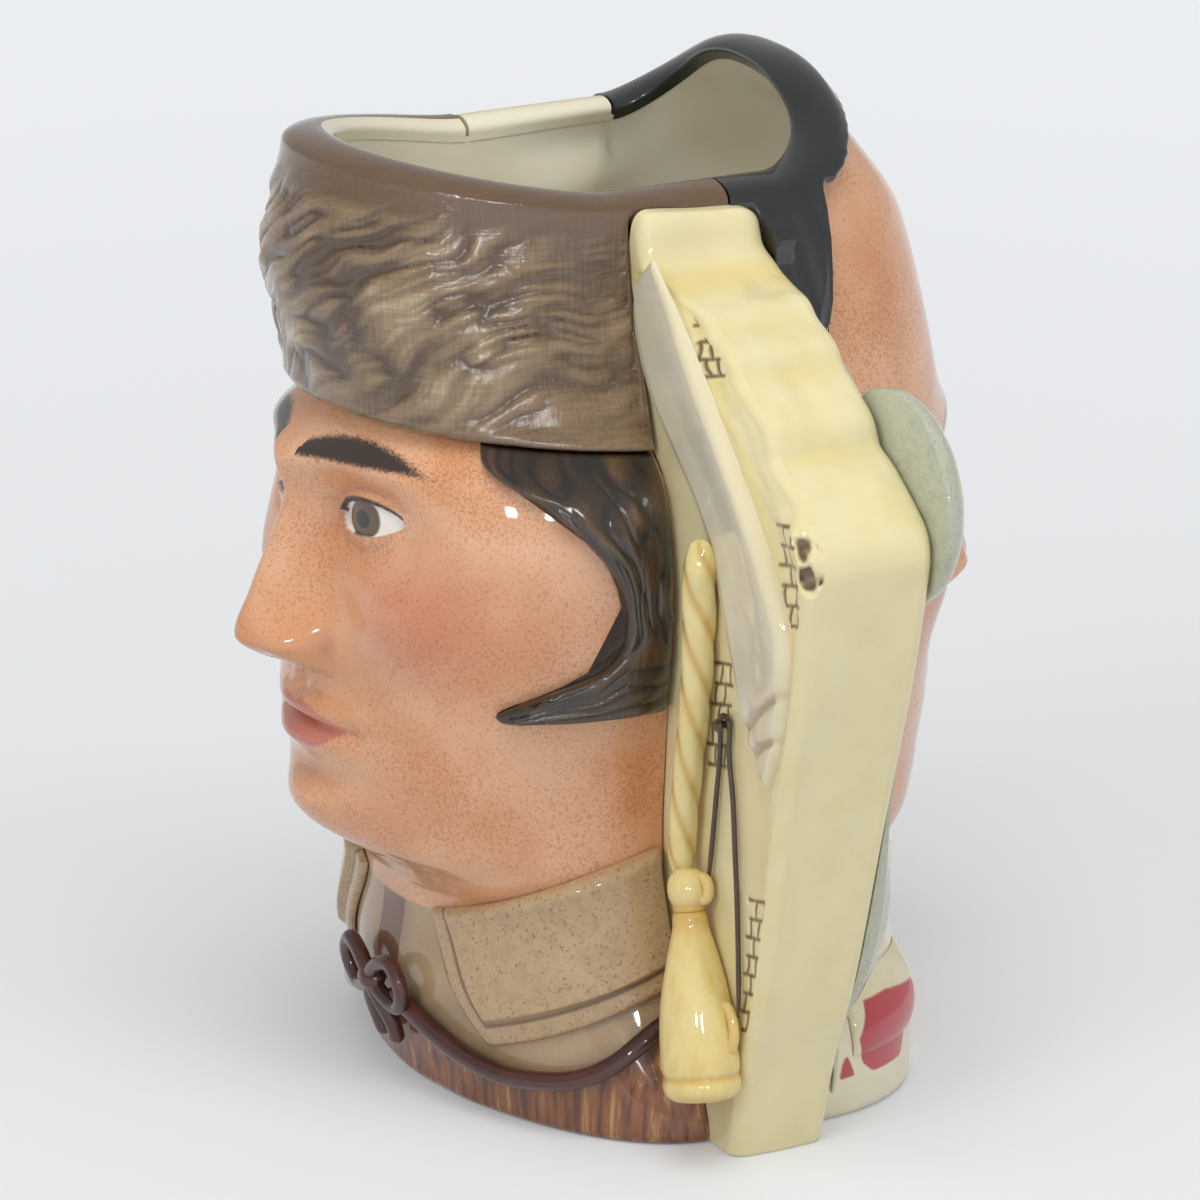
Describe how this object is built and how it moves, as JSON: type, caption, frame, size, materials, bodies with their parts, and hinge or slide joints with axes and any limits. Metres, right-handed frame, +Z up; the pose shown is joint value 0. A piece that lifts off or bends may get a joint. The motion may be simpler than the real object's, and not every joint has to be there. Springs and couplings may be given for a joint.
{
  "type": "two-headed character jug",
  "caption": "Glazed earthenware character jug with a head on each face, a fur cap and black hair for a rim, and a wall-shaped slab handle with a ribbon, horn and sword.",
  "frame": {"origin": "centre of the seam between the two heads, on the table", "axes": "+Z up; -X is the way the capped head faces, +X the way the black-haired head faces; the handle stands on the -Y side"},
  "size_m": [0.1441, 0.1514, 0.178],
  "materials": {
    "flesh_glaze": "gloss",
    "fur_brown_glaze": "gloss",
    "dark_hair_glaze": "gloss",
    "black_glaze": "gloss",
    "taupe_glaze": "gloss",
    "red_brown_glaze": "gloss",
    "cream_glaze": "gloss",
    "pale_yellow_glaze": "gloss",
    "grey_white_glaze": "gloss",
    "straw_glaze": "gloss",
    "horn_yellow_glaze": "gloss",
    "leather_brown_glaze": "gloss",
    "grey_green_glaze": "gloss"
  },
  "bodies": {
    "root": {"jug_body": "flesh_glaze", "fur_cap": "fur_brown_glaze", "left_sideburn": "dark_hair_glaze", "right_sideburn": "dark_hair_glaze", "black_hair": "black_glaze", "left_collar_flap": "taupe_glaze", "right_collar_flap": "taupe_glaze", "collar_lace": "red_brown_glaze", "lace_bow": "red_brown_glaze", "coat_collar": "cream_glaze", "left_shoulder_roll": "cream_glaze", "right_shoulder_roll": "cream_glaze", "seam_strip": "pale_yellow_glaze", "handle_wall": "pale_yellow_glaze", "ribbon": "grey_white_glaze", "twisted_rope": "straw_glaze", "powder_horn": "horn_yellow_glaze", "horn_stopper": "horn_yellow_glaze", "horn_thong": "leather_brown_glaze", "thong_peg": "leather_brown_glaze", "sword_guard": "grey_green_glaze", "sword_blade": "grey_green_glaze", "sword_grip": "grey_green_glaze"}
  },
  "joints": []
}
